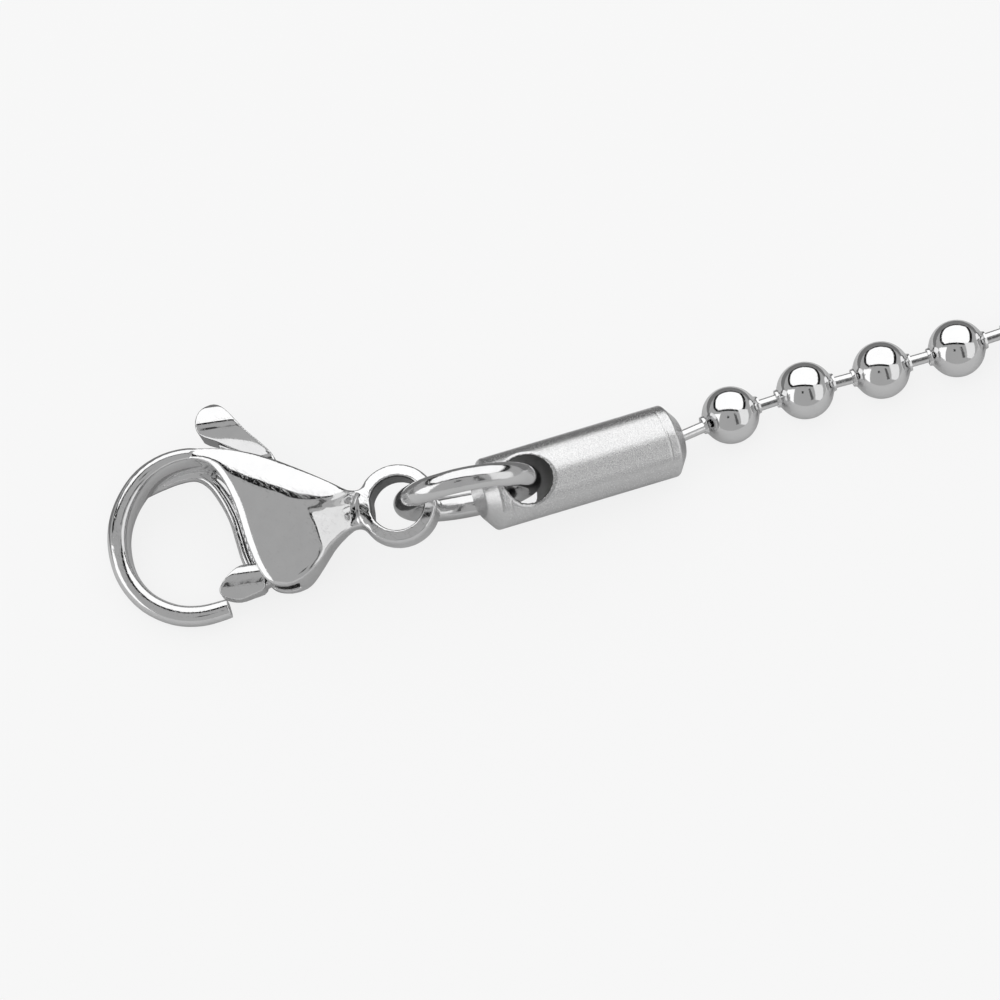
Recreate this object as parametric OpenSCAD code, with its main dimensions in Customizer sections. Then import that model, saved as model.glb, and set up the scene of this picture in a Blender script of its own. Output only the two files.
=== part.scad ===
// Ball chain necklace with a lobster clasp, unfastened and lying flat in an open ring.
// Z = 0 is the surface that it lies on. X runs from the clasp's hook to its eye.

/* [Ball chain] */
// Diameter of a bead
bead_d = 2.5; // [2.3:0.05:2.6]
// Distance between the centres of two beads
bead_pitch = 3.45; // [3.4:0.05:3.7]
// Number of beads
bead_count = 119; // [100:1:119]
// Wall of a hollow bead
bead_wall = 0.2; // [0.15:0.05:0.25]
// Diameter of the hole at each pole of a bead
bead_hole_d = 0.78; // [0.76:0.01:0.84]
// Width of the flared lip around that hole
lip_w = 0.08; // [0.06:0.01:0.12]
// Height of the lip over the ball
lip_h = 0.1; // [0.06:0.01:0.14]
// Diameter of a bar between two beads
bar_d = 0.5; // [0.4:0.02:0.54]
// Diameter of the ball on each end of a bar
head_d = 0.88; // [0.86:0.01:0.94]
// Gap between the two bar heads in one bead
head_gap = 0.2; // [0.14:0.02:0.24]

/* [End tubes] */
// Outer diameter of an end tube
tube_d = 3.2; // [3.1:0.05:3.4]
// Length of an end tube
tube_len = 9.4; // [8.4:0.1:11]
// Length of the chamfer at each end
tube_chamfer = 0.49; // [0.3:0.01:0.6]
// Diameter of the flat face that the chamfer leaves
tube_face_d = 1.9; // [1.7:0.05:2.2]
// Play of the jump ring on each side in the cross hole
cross_play = 0.23; // [0.2:0.01:0.26]
// Distance from the ring end's face to the cross hole's axis
cross_from_end = 1.95; // [1.9:0.01:2]
// Width of the broken edge around the cross hole
cross_edge = 0.1; // [0.06:0.01:0.14]
// Diameter of the mouth that the chain's bar comes out of
mouth_d = 1; // [0.9:0.05:1.2]
// Wall around that mouth
mouth_wall = 0.6; // [0.5:0.05:0.8]
// Diameter of the chamber behind the mouth
chamber_d = 1.8; // [1.7:0.05:2]
// Depth of that chamber
chamber_len = 2; // [1.8:0.1:3]
// Distance from a tube's end face to the next bead's centre
tube_to_bead = 2.6; // [2.3:0.05:3]

/* [Jump rings] */
// Wire of a jump ring
ring_wire = 1.05; // [1:0.01:1.08]
// Outer diameter of a jump ring
ring_d = 6.5; // [6.45:0.01:6.6]

/* [Clasp body] */
// Reach of the hook, from its centre to the middle of its wire
hook_reach = 2.75; // [2.6:0.05:2.9]
// Height of the hook, from its centre to the middle of its wire
hook_height = 3.6; // [3.5:0.01:3.7]
// Width of the hook's wire in the face
hook_wire = 0.98; // [0.9:0.02:1.04]
// Depth of the hook where it leaves the body
hook_depth = 2.5; // [2.2:0.1:2.8]
// Distance from the hook's centre to the eye's centre
eye_x = 9.5; // [9.3:0.1:10.5]
// Height of the cheeks in the face
cheek_h = 6.8; // [6.6:0.1:7]
// Thickness of the body between its cheeks' crowns
body_t = 3.6; // [3.5:0.05:3.7]
// Radius of the cheeks' crown across the body
crown_r = 7; // [6.5:0.1:8]
// Radius of their fall toward the neck
fall_r = 4.2; // [4:0.1:4.6]
// Radius of their fall toward the hook
brow_r = 4; // [3.5:0.1:5]
// Outer diameter of the eye
eye_d = 3.5; // [3.4:0.05:3.6]
// Diameter of the eye's hole
eye_hole_d = 2.35; // [2.3:0.05:2.4]
// Distance of the jump ring's wire from the middle of that hole
eye_play = 0.3; // [0.26:0.01:0.32]
// Thickness of the eye
eye_t = 1.6; // [1.4:0.05:1.7]
// Chamfer of the eye's edges
eye_edge = 0.25; // [0.15:0.05:0.3]

/* [Clasp lever] */
// Width of the channel between the cheeks
slot_w = 1; // [0.9:0.05:1.1]
// Clearance of the lever on each side in the channel
slot_gap = 0.1; // [0.08:0.01:0.15]
// Height of the thumb tab's end over the pin
tab_top = 6.65; // [6.5:0.01:6.8]
// Reach of the thumb tab toward the hook, from the pin
tab_reach = 3.16; // [3.1:0.02:3.3]
// Depth of the thumb tab
tab_depth = 2.2; // [1.8:0.1:2.4]
// Reach of the jaw toward the hook, from the pin
jaw_reach = 3; // [2.9:0.02:3.1]
// Drop of the jaw's underside below the pin
jaw_drop = 2; // [1.9:0.01:2.1]
// Depth of the jaw
jaw_depth = 1.5; // [1.3:0.1:1.7]
// Distance from the hook's centre to the pin, along the clasp
pin_x = 4.4; // [4.3:0.05:4.5]
// Distance from the hook's centre down to the pin
pin_drop = 1.2; // [1.1:0.05:1.3]
// Diameter of the pin
pin_d = 1; // [0.8:0.05:1.1]
// Length of the pin, hidden in the cheeks
pin_len = 2.3; // [2:0.1:2.4]
// Gap around the pin in the lever
pin_gap = 0.05; // [0.04:0.01:0.08]
// Radius of the lever around the pin
lever_hub_r = 1.1; // [1:0.05:1.15]
// Room behind that hub in the channel
hub_room = 0.35; // [0.3:0.05:0.4]

/* [How it lies] */
// Heading of the clasp on the surface
clasp_heading = 4.8; // [3:0.1:6]
// Rise of the clasp toward its eye
clasp_rise = 8.5; // [8:0.1:9]
// Roll of the clasp onto the lower arc of its hook
clasp_roll = 12; // [11:0.1:13]
// Heading of the jump ring's plane
ring_heading = 11.5; // [11:0.1:13]
// Lean of the jump ring
ring_lean = 12.5; // [11:0.1:14]
// Heading of the clasp's end tube
tube_heading = 22.1; // [21:0.1:24]
// Fall of the clasp's end tube toward the chain
tube_fall = 8.5; // [8:0.1:9]
// Lean of its cross hole
cross_roll = 15.5; // [14:0.5:17]
// Distance of the jump ring from the near end of its play in the cross hole
ring_settle = 0.04; // [0.02:0.01:0.06]
// Turn of the chain from one bead to the next
bead_turn = 2.71; // [2.6:0.01:2.75]

/* [Hidden] */
$fn = 64;
polished = "gainsboro";
satin = "silver";
eps = 0.01;

// Middle of the loop, seen from the photographed stretch, so that the origin is under its centre
loop_middle = [-3.76, 71.67];

bead_r = bead_d / 2;
tube_r = tube_d / 2;
wire_r = ring_wire / 2;
ring_mean_r = (ring_d - ring_wire) / 2;

// Directions on the surface and in space
function flat_dir(a) = [cos(a), sin(a), 0];
function rising_dir(a, rise) = [cos(a) * cos(rise), sin(a) * cos(rise), sin(rise)];
function unit(v) = v / norm(v);

// Smooth curve through the rows of a table, with some steps to each row
function blend_row(a, b, c, d, t) =
    0.5 * (2 * b + (c - a) * t + (2 * a - 5 * b + 4 * c - d) * t * t + (3 * b - a - 3 * c + d) * t * t * t);
function smooth_rows(rows, steps) = let (last = len(rows) - 1) [
    for (i = [0:last - 1], s = [0:steps - 1])
        blend_row(rows[max(i - 1, 0)], rows[i], rows[i + 1], rows[min(i + 2, last)], s / steps),
    rows[last]
];

// Where the clasp's side of the necklace lies
tube_exit = [7.7, 2.26, tube_r * cos(tube_fall) - tube_chamfer * sin(tube_fall)];
tube_dir = rising_dir(tube_heading, -tube_fall);
cross_centre = tube_exit - (tube_len - cross_from_end) * tube_dir;

// Room that the ring's bend needs in the cross hole, and how far its centre is from the hole's axis
ring_chord = sqrt(pow(ring_d / 2 - ring_wire, 2) - tube_r * tube_r);
cross_d = ring_d / 2 - ring_chord + 2 * cross_play;
ring_to_cross = (ring_d / 2 + ring_chord) / 2 + ring_settle;

// Way from the ring's centre to a point of its plane: to one side, some reach away and lower by drop
ring_along = flat_dir(ring_heading);
ring_up = [sin(ring_lean) * sin(ring_heading), -sin(ring_lean) * cos(ring_heading), cos(ring_lean)];
function ring_way(side, reach, drop) = let (down = drop / cos(ring_lean))
    side * sqrt(reach * reach - down * down) * ring_along - down * ring_up;

ring_height = ring_mean_r * cos(ring_lean) + wire_r;
ring_centre = cross_centre - ring_way(1, ring_to_cross, ring_height - cross_centre.z);

// Middle line of the hook from the body round to its tip, with half its width and half its depth,
// as shares of hook_reach, hook_height, hook_wire and hook_depth
hook_rows = smooth_rows([
    // along, up, half width, half depth
    [0.6, 0.85, 0.3, 0.5],
    [0.3, 0.905, 0.39, 0.5],
    [-0.11, 0.875, 0.43, 0.46],
    [-0.49, 0.735, 0.47, 0.4],
    [-0.78, 0.49, 0.49, 0.34],
    [-0.96, 0.19, 0.5, 0.3],
    [-1, -0.13, 0.49, 0.28],
    [-0.91, -0.455, 0.47, 0.27],
    [-0.655, -0.745, 0.45, 0.265],
    [-0.255, -0.94, 0.44, 0.25],
    [0.18, -1, 0.43, 0.24],
    [0.63, -0.955, 0.4, 0.22],
], 3);

// The clasp rests on its hook, with its eye up on the ring: height along each of its own axes
clasp_lift = [sin(clasp_rise), cos(clasp_rise) * sin(clasp_roll), cos(clasp_rise) * cos(clasp_roll)];
function hook_low(row) = (row[0] * hook_reach - eye_x) * clasp_lift.x + row[1] * hook_height * clasp_lift.y
    - norm([row[2] * hook_wire * norm([clasp_lift.x, clasp_lift.y]), row[3] * hook_depth * clasp_lift.z]);
eye_height = -min([for (row = hook_rows) hook_low(row)]);
eye_centre = ring_centre + ring_way(-1, ring_mean_r + eye_play, ring_height - eye_height);
hook_centre = eye_centre - eye_x * rising_dir(clasp_heading, clasp_rise);

// Headings of the chain's first bars as photographed, and then an even turn
first_headings = [28, 20, 16.5, 17.5];
function bar_heading(i) = i < len(first_headings)
    ? first_headings[i]
    : first_headings[len(first_headings) - 1] + (i - len(first_headings) + 1) * bead_turn;
first_bead = [tube_exit.x, tube_exit.y, bead_r]
    + sqrt(tube_to_bead * tube_to_bead - pow(tube_exit.z - bead_r, 2)) * flat_dir(bar_heading(0));
beads = [
    for (i = 1, p = first_bead; i <= bead_count; p = p + bead_pitch * flat_dir(bar_heading(i)), i = i + 1) p
];

// Where the free end lies
free_heading = bar_heading(bead_count) + 2 * bead_turn;
free_drop = tube_r - bead_r;
free_exit = beads[bead_count - 1] + [0, 0, free_drop]
    + sqrt(tube_to_bead * tube_to_bead - free_drop * free_drop) * flat_dir(bar_heading(bead_count));
free_cross = free_exit + (tube_len - cross_from_end) * flat_dir(free_heading);

// Fall of the free ring, from the tube's cross hole to the surface
free_ring_tilt = asin((tube_r - wire_r) / (ring_to_cross + ring_mean_r));

// Carries its children from the photographed stretch to the model's own frame
module placed() {
    translate([-loop_middle.x, -loop_middle.y, 0]) children();
}

// Turns the children's Z to the line from a to b, with their origin at a
module aimed(a, b) {
    d = b - a;
    translate(a) rotate([0, acos(d.z / norm(d)), atan2(d.y, d.x)]) children();
}

// Puts the clasp's own frame in its place: X to the eye, Y to the thumb tab, origin in the hook
module clasp_placed() {
    placed() translate(hook_centre) rotate([clasp_roll, -clasp_rise, clasp_heading]) children();
}

hook_sides = 16;
module hook() {
    last = len(hook_rows) - 1;
    function middle(i) = [hook_rows[i][0] * hook_reach, hook_rows[i][1] * hook_height];
    function side(i) = let (t = middle(min(i + 1, last)) - middle(max(i - 1, 0))) unit([-t.y, t.x]);
    points = [
        for (i = [0:last], k = [0:hook_sides - 1])
            let (a = 360 * k / hook_sides, m = middle(i) + side(i) * cos(a) * hook_rows[i][2] * hook_wire)
                [m.x, m.y, sin(a) * hook_rows[i][3] * hook_depth]
    ];
    walls = [
        for (i = [0:last - 1], k = [0:hook_sides - 1])
            let (n = (k + 1) % hook_sides, a = i * hook_sides, b = a + hook_sides)
                [a + k, b + k, b + n, a + n]
    ];
    ends = [
        [for (k = [0:hook_sides - 1]) k],
        [for (k = [hook_sides - 1:-1:0]) last * hook_sides + k]
    ];
    polyhedron(points, concat(walls, ends), convexity = 6);
}

// Outline of the cheeks, as shares of eye_x along and cheek_h up
cheek_rows = [
    // front rim, from the hook's root down to the jaw
    [0.063, 0.449], [0.137, 0.419], [0.205, 0.346], [0.268, 0.14], [0.305, -0.132], [0.342, -0.309],
    [0.389, -0.408],
    // lower edge, to the neck
    [0.462, -0.437], [0.545, -0.408], [0.622, -0.331], [0.69, -0.218], [0.756, -0.138], [0.8, -0.11],
    [0.874, -0.105],
    // back from the eye along the upper edge
    [0.874, 0.105], [0.788, 0.118], [0.726, 0.165], [0.587, 0.28], [0.455, 0.382], [0.332, 0.45],
    [0.205, 0.49], [0.09, 0.512],
];
cheek_steps = 3;

module cheek_outline() {
    polygon([for (p = smooth_rows(cheek_rows, cheek_steps)) [p[0] * eye_x, p[1] * cheek_h]]);
}

// Height of the cheeks' crown, and where their falls to the hook and to the neck begin
crown_y = 0.162 * cheek_h;
brow_x = 0.26 * eye_x;
fall_x = 0.55 * eye_x;

// Faces cut on each cheek: a point on it, and how it rises along and up
cheek_cuts = [
    // along, up, height, rise along, rise up
    [0.487 * eye_x, 0.124 * cheek_h, 0.998 * body_t / 2, 0.118, 0.16],
    [0.624 * eye_x, 0.062 * cheek_h, 0.983 * body_t / 2, -0.47, 0.18],
];
module cheek_face() {
    intersection() {
        translate([-eye_x, crown_y, body_t / 2 - crown_r])
            rotate([0, 90, 0]) cylinder(r = crown_r, h = 3 * eye_x);
        intersection_for (cut = cheek_cuts)
            aimed([cut[0], cut[1], cut[2]], [cut[0] - cut[3], cut[1] - cut[4], cut[2] + 1])
                translate([-2 * eye_x, -2 * eye_x, -2 * eye_x]) cube([4 * eye_x, 4 * eye_x, 2 * eye_x]);
    }
}

// The cheeks seen from below: level between their falls to the hook and to the neck
module cheek_profile() {
    intersection() {
        union() {
            translate([brow_x, body_t / 2 - brow_r]) circle(r = brow_r);
            translate([brow_x, -body_t]) square([2 * eye_x, 1.5 * body_t]);
        }
        union() {
            translate([fall_x, body_t / 2 - fall_r]) circle(r = fall_r);
            translate([-eye_x, -body_t]) square([fall_x + eye_x, 1.5 * body_t]);
        }
    }
}

module cheeks() {
    intersection() {
        linear_extrude(body_t, center = true) cheek_outline();
        cheek_face();
        mirror([0, 0, 1]) cheek_face();
        rotate([90, 0, 0]) linear_extrude(2 * cheek_h, center = true) intersection() {
            cheek_profile();
            mirror([0, 1]) cheek_profile();
        }
    }
}

module eye_blank() {
    r = eye_d / 2;
    h = eye_t / 2;
    translate([eye_x, 0, 0]) rotate_extrude()
        polygon([
            [0, -h], [r - eye_edge, -h], [r, eye_edge - h], [r, h - eye_edge], [r - eye_edge, h], [0, h],
        ]);
}

// The channel is open to the hook's side, over the thumb tab and under the jaw
slot_back = 0.64 * eye_x;
slot_front = 0.62 * hook_reach;
hub_reach = lever_hub_r + hub_room;
module slot() {
    linear_extrude(slot_w, center = true) polygon([
        [slot_front, cheek_h],
        [slot_back, cheek_h],
        [slot_back, cheek_h * 0.3],
        [pin_x + hub_reach, -pin_drop],
        [pin_x + 0.6 * hub_reach, -pin_drop - 0.8 * hub_reach],
        [pin_x, -cheek_h / 2],
        [slot_front, -cheek_h],
    ]);
}

module clasp_body() {
    color(polished) clasp_placed() difference() {
        union() {
            difference() {
                cheeks();
                slot();
            }
            hook();
            eye_blank();
        }
        translate([eye_x, 0, 0]) cylinder(d = eye_hole_d, h = 2 * eye_t, center = true);
        translate([pin_x, -pin_drop, 0]) cylinder(d = pin_d, h = pin_len, center = true);
    }
}

module clasp_pin() {
    color(polished) clasp_placed()
        translate([pin_x, -pin_drop, 0]) cylinder(d = pin_d, h = pin_len, center = true);
}

// Outlines of the lever from the pin's axis: the tab as shares of tab_reach and tab_top, and the jaw
// as shares of jaw_reach and jaw_drop
tab_rows = [
    [-0.759, 0.751], [-0.975, 0.806], [-1, 0.894], [-0.899, 0.974], [-0.728, 1], [-0.57, 0.946],
    [-0.348, 0.806], [-0.174, 0.718],
];
jaw_rows = [
    [-0.5, -0.25], [-0.673, -0.28], [-0.833, -0.45], [-0.953, -0.63], [-1, -0.79], [-0.92, -0.913],
    [-0.733, -1], [-0.533, -0.942], [-0.333, -0.817],
];
// The plate between them, as shares of the tab's sizes over the pin and of the jaw's under it
plate_front = [
    [-0.396, 0.205], [-0.475, 0.411], [-0.633, 0.587], [-0.791, 0.806],
];
plate_back = [
    [-0.443, 0.792], [-0.19, 0.674], [-0.063, 0.587], [0.063, 0.44], [0.196, 0.235],
];
plate_foot = [
    [-0.2, -0.721], [-0.567, -0.889], [-0.633, -0.433], [-0.433, 0.096],
];
function tab_points(rows) = [for (p = rows) [p[0] * tab_reach, p[1] * tab_top]];
function jaw_points(rows) = [for (p = rows) [p[0] * jaw_reach, p[1] * jaw_drop]];
module lever_plate() {
    hub = [for (a = [30:-15:-75]) lever_hub_r * [cos(a), sin(a)]];
    polygon(concat(tab_points(concat(plate_front, plate_back)), hub, jaw_points(plate_foot)));
}

module lever_from_pin() {
    difference() {
        union() {
            linear_extrude(slot_w - 2 * slot_gap, center = true) lever_plate();
            linear_extrude(tab_depth, center = true) polygon(tab_points(smooth_rows(tab_rows, 2)));
            linear_extrude(jaw_depth, center = true) polygon(jaw_points(smooth_rows(jaw_rows, 2)));
        }
        cylinder(d = pin_d + 2 * pin_gap, h = 2 * tab_depth, center = true);
    }
}

module clasp_lever() {
    color(polished) clasp_placed() translate([pin_x, -pin_drop, 0]) lever_from_pin();
}

module jump_ring() {
    rotate_extrude() translate([ring_mean_r, 0]) circle(d = ring_wire);
}

module clasp_ring() {
    color(polished) placed() translate(ring_centre)
        rotate([0, 0, ring_heading]) rotate([90 + ring_lean, 0, 0]) jump_ring();
}

module free_ring() {
    color(polished) placed() translate(free_cross) rotate([0, free_ring_tilt, free_heading])
        translate([ring_to_cross, 0, 0]) jump_ring();
}

// An end tube along Z, with its ring end at the bottom and its cross hole along X
module end_tube() {
    difference() {
        rotate_extrude() polygon([
            [0, 0], [tube_face_d / 2, 0], [tube_r, tube_chamfer], [tube_r, tube_len - tube_chamfer],
            [tube_face_d / 2, tube_len], [0, tube_len],
        ]);
        translate([0, 0, cross_from_end]) rotate([0, 90, 0]) {
            cylinder(d = cross_d, h = 2 * tube_d, center = true);
            for (end = [0, 180]) rotate([end, 0, 0]) translate([0, 0, tube_r - 2 * cross_edge])
                cylinder(d1 = cross_d, d2 = cross_d + 3 * cross_edge, h = 2 * cross_edge + eps);
        }
        translate([0, 0, tube_len - mouth_wall - chamber_len]) cylinder(d = chamber_d, h = chamber_len);
        translate([0, 0, tube_len - mouth_wall - eps]) cylinder(d = mouth_d, h = mouth_wall + 2 * eps);
    }
}

module clasp_end_tube() {
    color(satin) placed() translate(tube_exit - tube_len * tube_dir)
        rotate([0, 90 + tube_fall, tube_heading]) rotate([0, 0, cross_roll]) end_tube();
}

module free_end_tube() {
    color(satin) placed() translate(free_exit + tube_len * flat_dir(free_heading))
        rotate([0, -90, free_heading]) rotate([0, 0, 90]) end_tube();
}

// A hollow bead with its poles along Z
module bead() {
    difference() {
        union() {
            sphere(r = bead_r);
            cylinder(d = bead_hole_d + 2 * lip_w, h = bead_d + 2 * lip_h, center = true);
        }
        sphere(r = bead_r - bead_wall);
        cylinder(d = bead_hole_d, h = 2 * bead_d, center = true);
    }
}

// A bar from a to b, with a ball on each end
module bar(a, b) {
    aimed(a, b) cylinder(d = bar_d, h = norm(b - a));
    for (p = [a, b]) translate(p) sphere(d = head_d);
}

// Distance from a bead's centre to a bar head in it
head_offset = (head_d + head_gap) / 2;
tube_head_depth = mouth_wall + head_d / 2 + head_gap;

module ball_chain() {
    stops = concat([tube_exit], beads, [free_exit]);
    color(polished) placed() {
        for (i = [1:bead_count]) translate(stops[i])
            aimed([0, 0, 0], unit(stops[i + 1] - stops[i]) + unit(stops[i] - stops[i - 1])) bead();
        for (i = [0:bead_count]) {
            along = unit(stops[i + 1] - stops[i]);
            bar(stops[i] + along * (i == 0 ? -tube_head_depth : head_offset),
                stops[i + 1] - along * (i == bead_count ? -tube_head_depth : head_offset));
        }
    }
}

clasp_body();
clasp_lever();
clasp_pin();
clasp_ring();
clasp_end_tube();
ball_chain();
free_end_tube();
free_ring();
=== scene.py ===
import math

import bpy
from mathutils import Matrix, Vector


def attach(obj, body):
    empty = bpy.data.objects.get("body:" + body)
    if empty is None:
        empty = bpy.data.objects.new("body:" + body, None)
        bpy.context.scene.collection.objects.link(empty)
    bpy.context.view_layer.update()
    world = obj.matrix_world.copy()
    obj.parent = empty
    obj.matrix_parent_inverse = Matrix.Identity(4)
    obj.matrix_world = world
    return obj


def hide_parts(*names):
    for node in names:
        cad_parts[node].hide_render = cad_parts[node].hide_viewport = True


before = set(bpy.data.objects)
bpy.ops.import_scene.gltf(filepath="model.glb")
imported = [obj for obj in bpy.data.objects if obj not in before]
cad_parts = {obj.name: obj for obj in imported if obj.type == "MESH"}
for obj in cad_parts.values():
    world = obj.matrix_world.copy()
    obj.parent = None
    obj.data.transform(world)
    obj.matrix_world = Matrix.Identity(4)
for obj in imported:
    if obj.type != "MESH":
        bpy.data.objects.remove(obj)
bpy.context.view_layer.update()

mm = 0.001
print("frame loaded:", len(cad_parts), "nodes")


# small helpers for modelling; pieces are shaped in millimetres and settled in metres

def deselectAll():
    if bpy.context.object and bpy.context.object.mode != "OBJECT":
        bpy.ops.object.mode_set(mode="OBJECT")
    bpy.ops.object.select_all(action="DESELECT")


def pickOnly(*pieces):
    deselectAll()
    for piece in pieces:
        piece.select_set(True)
    bpy.context.view_layer.objects.active = pieces[0]


def joinAll(name, pieces):
    pickOnly(*pieces)
    if len(pieces) > 1:
        bpy.ops.object.join()
    pieces[0].name = name
    pieces[0].data.name = name
    return pieces[0]


def addLoop(name, count, filled=False):
    deselectAll()
    bpy.ops.mesh.primitive_circle_add(vertices=count, radius=1, fill_type="NGON" if filled else "NOTHING")
    bpy.context.object.name = name
    return bpy.context.object


def turnOutward():
    bpy.ops.mesh.select_all(action="SELECT")
    bpy.ops.mesh.normals_make_consistent(inside=False)
    bpy.ops.object.mode_set(mode="OBJECT")


# an outline in the plane, pulled up from one height to another
def addPrism(name, outline, low, high):
    piece = addLoop(name, len(outline), filled=True)
    for corner, (x, y) in zip(piece.data.vertices, outline):
        corner.co = (x, y, low)
    bpy.ops.object.mode_set(mode="EDIT")
    bpy.ops.mesh.select_all(action="SELECT")
    bpy.ops.mesh.extrude_region_move(TRANSFORM_OT_translate={"value": (0, 0, high - low)})
    turnOutward()
    return piece


# the piece's axes taken in another order
def turnAxes(piece, order):
    for corner in piece.data.vertices:
        corner.co = [corner.co[axis] for axis in order]


# oval rings set along a line in the plane, bridged into one bar with closed ends
def addSweep(name, rows, sides, square=1.0, level=0.0, lean=0.0):
    rings = []
    for place, (x, y, halfWidth, halfDepth) in enumerate(rows):
        ahead, behind = rows[min(place + 1, len(rows) - 1)], rows[max(place - 1, 0)]
        along = Vector((ahead[0] - behind[0], ahead[1] - behind[1], 0)).normalized()
        ring = addLoop(name, sides)
        for corner in ring.data.vertices:
            across, deep = (math.copysign(abs(c) ** square, c) for c in corner.co[:2])
            aside = along.x * across * halfWidth
            corner.co = (x - along.y * across * halfWidth, y + aside, level + deep * halfDepth + lean * aside)
        rings.append(ring)
    piece = joinAll(name, rings)
    bpy.ops.object.mode_set(mode="EDIT")
    bpy.ops.mesh.select_all(action="SELECT")
    bpy.ops.mesh.bridge_edge_loops()
    bpy.ops.mesh.select_all(action="SELECT")
    bpy.ops.mesh.fill_holes(sides=0)
    turnOutward()
    return piece


# a closed profile of radius and height, spun round the upright axis
def addTurned(name, profile, steps):
    piece = addLoop(name, len(profile))
    for corner, (radius, height) in zip(piece.data.vertices, profile):
        corner.co = (radius, 0, height)
    bpy.ops.object.mode_set(mode="EDIT")
    bpy.ops.mesh.select_all(action="SELECT")
    bpy.ops.mesh.spin(steps=steps, angle=2 * math.pi, center=(0, 0, 0), axis=(0, 0, 1))
    bpy.ops.mesh.select_all(action="SELECT")
    bpy.ops.mesh.remove_doubles(threshold=0.002)
    turnOutward()
    return piece


def addRod(name, radius, start, end, sides):
    start, end = Vector(start), Vector(end)
    deselectAll()
    bpy.ops.mesh.primitive_cylinder_add(vertices=sides, radius=radius, depth=(end - start).length,
                                        location=(start + end) / 2,
                                        rotation=(end - start).to_track_quat("Z", "Y").to_euler())
    bpy.context.object.name = name
    return bpy.context.object


def combine(piece, tool, operation):
    pickOnly(piece)
    bpy.ops.object.modifier_add(type="BOOLEAN")
    change = piece.modifiers[-1]
    change.operation, change.object, change.solver = operation, tool, "EXACT"
    bpy.ops.object.modifier_apply(modifier=change.name)
    bpy.data.objects.remove(tool)


# fuses what is joined into one casting and softens its edges as tumbling does
def fuse(piece, grain, rounds):
    pickOnly(piece)
    bpy.ops.object.modifier_add(type="REMESH")
    change = piece.modifiers[-1]
    change.mode, change.voxel_size = "VOXEL", grain
    bpy.ops.object.modifier_apply(modifier=change.name)
    bpy.ops.object.modifier_add(type="SMOOTH")
    change = piece.modifiers[-1]
    change.factor, change.iterations = 0.5, rounds
    bpy.ops.object.modifier_apply(modifier=change.name)
    bpy.ops.object.shade_smooth()


# evens out some of a piece's corners
def ease(piece, chosen, rounds):
    pickOnly(piece)
    for corner in piece.data.vertices:
        corner.select = chosen(corner.co)
    for edge in piece.data.edges:
        edge.select = False
    for patch in piece.data.polygons:
        patch.select = False
    bpy.ops.object.mode_set(mode="EDIT")
    bpy.ops.mesh.select_mode(type="VERT")
    bpy.ops.mesh.vertices_smooth(factor=0.5, repeat=rounds)
    bpy.ops.object.mode_set(mode="OBJECT")


def settle(piece, place):
    pickOnly(piece)
    piece.matrix_world = place
    bpy.ops.object.transform_apply(location=True, rotation=True, scale=True)


# a smooth curve through the rows, with so many steps from each to the next
def smoothRows(rows, steps):
    result = []
    last = len(rows) - 1
    for i in range(last):
        a, b, c, d = rows[max(i - 1, 0)], rows[i], rows[i + 1], rows[min(i + 2, last)]
        for s in range(steps):
            t = s / steps
            result.append(tuple(
                0.5 * (2 * q + (r - p) * t + (2 * p - 5 * q + 4 * r - w) * t ** 2
                       + (3 * q - p - 3 * r + w) * t ** 3)
                for p, q, r, w in zip(a, b, c, d)))
    result.append(tuple(rows[last]))
    return result


def flatDir(angle):
    return Vector((math.cos(math.radians(angle)), math.sin(math.radians(angle)), 0))


def risingDir(angle, rise):
    return flatDir(angle) * math.cos(math.radians(rise)) + Vector((0, 0, math.sin(math.radians(rise))))


def turn(axis, angle):
    return Matrix.Rotation(math.radians(angle), 4, axis)


# how the necklace lies, in millimetres, seen from the photographed stretch

lie = {
    "loopMiddle": Vector((-3.76, 71.67, 0)),
    "claspHeading": 4.8, "claspRise": 8.5, "claspRoll": 12,
    "ringHeading": 11.5, "ringLean": 12.5,
    "tubeHeading": 22.1, "tubeFall": 8.5, "crossRoll": 15.5,
    "tubeExit": (7.7, 2.26),
    "firstHeadings": [28, 20, 16.5, 17.5], "beadTurn": 2.71,
    "ringSettle": 0.04,
}
# edgeFall is the slope of the broken edge round the cross hole
# the recess and mouth reaches are how far the painted shade goes past the walls and down the mouth
tube = {"radius": 1.6, "length": 9.4, "chamfer": 0.49, "faceRadius": 0.95, "crossFromEnd": 1.95, "crossPlay": 0.23,
        "mouthRadius": 0.5, "mouthWall": 0.6, "chamberRadius": 0.9, "chamberLength": 2, "toBead": 2.6,
        "brokenEdge": 0.12, "edgeFall": 0.6, "edgeOverlap": 0.03, "edgeDepth": 0.06,
        "recessShade": 0.02, "mouthShade": 3, "crossReach": 3, "sides": 192, "crossSides": 128,
        "grain": 0.05, "tumbling": 3}
# marks are the plier marks, by angle and by the side of the wire that they flatten
ring = {"wire": 1.05, "outer": 6.5, "marks": ((40, 1), (118, -1), (200, 1), (285, -1), (330, 1)),
        "markReach": 0.9, "markDepth": 0.06, "segments": 144, "wireSegments": 40}
chain = {"beadRadius": 1.25, "pitch": 3.45, "count": 119, "wall": 0.2, "holeRadius": 0.33, "lip": 0.06,
         "collarRise": 0.08, "flareRadius": 0.58,
         # distance past the collar and height, where the ball draws out into it
         "flareRows": [(0.12, 1.15), (0.05, 1.18), (0.015, 1.22)],
         "barRadius": 0.25, "headRadius": 0.44, "headGap": 0.2,
         # radius and height, as shares of the head's radius
         "headRows": [(0, -1), (0.6, -0.8), (1, 0), (0.82, 0.55)], "headNeck": 0.83,
         # the beads by the clasp are in the picture and have finer meshes
         "nearCount": 7, "nearSteps": (28, 8, 64), "farSteps": (14, 6, 24), "nearSides": 32, "farSides": 12,
         "smoothAngle": 40}
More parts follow.
